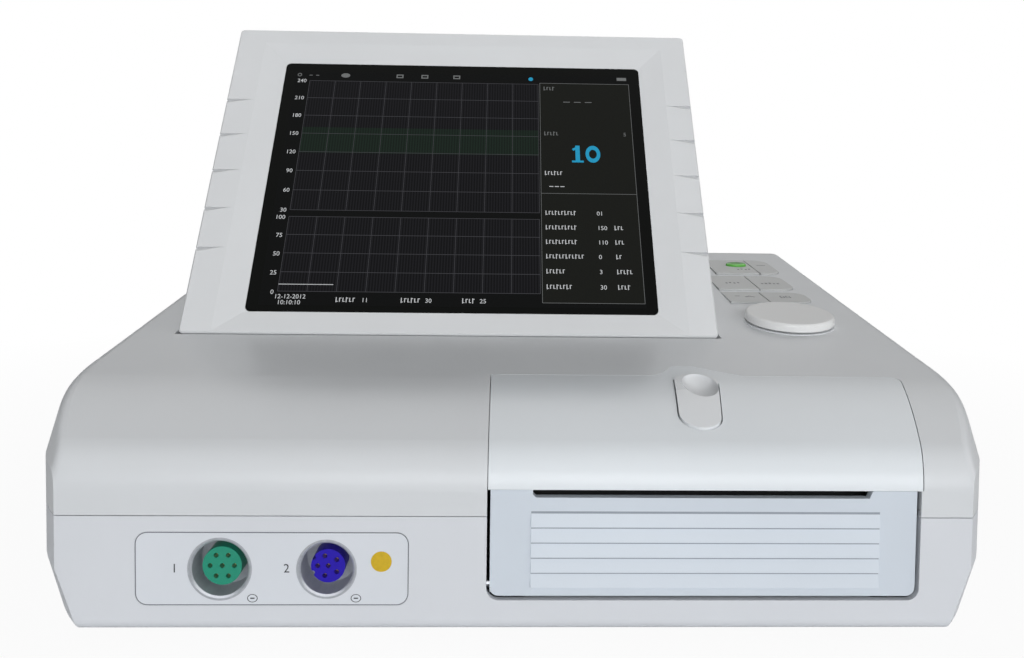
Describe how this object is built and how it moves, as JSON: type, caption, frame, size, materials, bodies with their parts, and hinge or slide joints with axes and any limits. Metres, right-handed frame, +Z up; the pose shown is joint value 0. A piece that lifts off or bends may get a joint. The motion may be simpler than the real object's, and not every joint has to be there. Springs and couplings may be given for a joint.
{
  "type": "fetal doppler monitor",
  "caption": "Table-top fetal monitor: flip-up screen, chart printer with drop-down door, two round probe sockets, deck keys and a push-and-turn knob.",
  "frame": {"origin": "centre of the casing's footprint, at the level of the feet", "axes": "+X to the right, +Y to the rear, +Z up"},
  "size_m": [0.35, 0.32, 0.2333],
  "materials": {
    "casing_top": "fine texture",
    "casing_low": "fine texture",
    "cover_white": "semi-gloss",
    "door_white": "satin",
    "screen_white": "satin",
    "knob_white": "satin",
    "key_grey": "satin",
    "button_blue_grey": "satin",
    "label_film": "satin",
    "dark_plastic": "satin",
    "green_plastic": "gloss",
    "blue_plastic": "gloss",
    "lens_green": "gloss",
    "screen_glass": "gloss",
    "steel": "brushed",
    "socket_metal": "turned",
    "aluminium": "satin",
    "brass": "polished",
    "rubber": "matte",
    "silicone": "matte",
    "board": "solder mask",
    "paper": "matte",
    "gear_plastic": "natural",
    "battery_wrap": "shrink wrap"
  },
  "bodies": {
    "casing": {"lower_casing": "casing_low", "upper_casing": "casing_top", "rubber_feet": "rubber", "casing_screws": "steel", "battery_cover": "casing_low", "battery_pack": "battery_wrap", "connector_label": "label_film", "green_socket_shell": "socket_metal", "green_socket_insert": "green_plastic", "blue_socket_shell": "socket_metal", "blue_socket_insert": "blue_plastic", "socket_contacts": "brass", "main_board": "board", "power_supply": "aluminium", "speaker": "dark_plastic", "mains_inlet": "dark_plastic", "mains_inlet_pins": "brass", "power_switch_frame": "dark_plastic", "fuse_holders": "dark_plastic", "network_port": "steel", "paper_tray": "casing_low", "paper_pack": "paper", "print_frame": "steel", "thermal_head": "aluminium", "platen_bushes": "brass", "idler_pin": "steel", "feed_motor": "steel", "door_hinge_pins": "steel", "printer_cover": "cover_white", "hinge_brackets": "steel", "key_mat": "silicone", "key_board": "board", "encoder_body": "steel"},
    "screen": {"display_bezel": "screen_white", "display_rear_cover": "screen_white", "display_glass": "screen_glass", "lcd_module": "aluminium", "display_screws": "steel", "hinge_plates": "steel", "hinge_pins": "steel"},
    "paper_door": {"paper_door": "door_white"},
    "latch": {"latch_button": "button_blue_grey", "latch_yoke": "dark_plastic", "latch_spring": "steel"},
    "push_spindle": {"encoder_plunger": "steel"},
    "knob": {"control_knob": "knob_white", "encoder_shaft": "steel"},
    "key_front_left": {"key_front_left": "key_grey"},
    "key_front_right": {"key_front_right": "key_grey"},
    "key_middle_left": {"key_middle_left": "key_grey"},
    "key_middle_right": {"key_middle_right": "key_grey"},
    "key_rear_left": {"key_rear_left": "key_grey", "indicator_lens": "lens_green"},
    "key_rear_right": {"key_rear_right": "key_grey"},
    "power_rocker": {"power_rocker": "dark_plastic"},
    "platen": {"platen_shaft": "steel", "platen_rubber": "rubber", "platen_gear": "gear_plastic"},
    "idler_gear": {"idler_gear": "gear_plastic"},
    "motor_pinion": {"motor_pinion": "brass"}
  },
  "joints": [
    {"name": "screen_tilt", "type": "hinge", "parent": "casing", "child": "screen", "pos_m": [-0.0292, -0.0407, 0.08824], "axis": [1, 0, 0], "range_deg": [-48, 15]},
    {"name": "paper_door_hinge", "type": "hinge", "parent": "casing", "child": "paper_door", "pos_m": [0.06123, -0.156, 0.0196], "axis": [1, 0, 0], "range_deg": [0, 85]},
    {"name": "latch_press", "type": "slide", "parent": "casing", "child": "latch", "axis": [0, 0, -1], "range_m": [0, 0.003], "stiffness_N_per_m": 900, "springref_m": -0.001, "deforming": ["latch_spring"]},
    {"name": "knob_push", "type": "slide", "parent": "casing", "child": "push_spindle", "axis": [0, 0.1392, -0.9903], "range_m": [0, 0.0005], "stiffness_N_per_m": 3000, "springref_m": -0.0004},
    {"name": "knob_turn", "type": "hinge", "parent": "push_spindle", "child": "knob", "pos_m": [0.128, -0.0309, 0.08962], "axis": [0, -0.1392, 0.9903], "continuous": true},
    {"name": "press_front_left", "type": "slide", "parent": "casing", "child": "key_front_left", "axis": [0, 0.1392, -0.9903], "range_m": [0, 0.0012], "stiffness_N_per_m": 600, "springref_m": -0.0005},
    {"name": "press_front_right", "type": "slide", "parent": "casing", "child": "key_front_right", "axis": [0, 0.1392, -0.9903], "range_m": [0, 0.0012], "stiffness_N_per_m": 600, "springref_m": -0.0005},
    {"name": "press_middle_left", "type": "slide", "parent": "casing", "child": "key_middle_left", "axis": [0, 0.1392, -0.9903], "range_m": [0, 0.0012], "stiffness_N_per_m": 600, "springref_m": -0.0005},
    {"name": "press_middle_right", "type": "slide", "parent": "casing", "child": "key_middle_right", "axis": [0, 0.1392, -0.9903], "range_m": [0, 0.0012], "stiffness_N_per_m": 600, "springref_m": -0.0005},
    {"name": "press_rear_left", "type": "slide", "parent": "casing", "child": "key_rear_left", "axis": [0, 0.1392, -0.9903], "range_m": [0, 0.0012], "stiffness_N_per_m": 600, "springref_m": -0.0005},
    {"name": "press_rear_right", "type": "slide", "parent": "casing", "child": "key_rear_right", "axis": [0, 0.1392, -0.9903], "range_m": [0, 0.0012], "stiffness_N_per_m": 600, "springref_m": -0.0005},
    {"name": "power_rock", "type": "hinge", "parent": "casing", "child": "power_rocker", "pos_m": [0.078, 0.152, 0.026], "axis": [1, 0, 0], "range_deg": [0, 16]},
    {"name": "platen_spin", "type": "hinge", "parent": "casing", "child": "platen", "pos_m": [0.061, -0.143, 0.0445], "axis": [1, 0, 0], "continuous": true},
    {"name": "idler_spin", "type": "hinge", "parent": "casing", "child": "idler_gear", "pos_m": [0.129, -0.1238, 0.0445], "axis": [1, 0, 0], "continuous": true},
    {"name": "pinion_spin", "type": "hinge", "parent": "casing", "child": "motor_pinion", "pos_m": [0.129, -0.1094, 0.0445], "axis": [1, 0, 0], "continuous": true}
  ],
  "couplings": [
    {"joint": "idler_spin", "follows": "platen_spin", "ratio": -1.1818},
    {"joint": "pinion_spin", "follows": "platen_spin", "ratio": 1.8571}
  ]
}
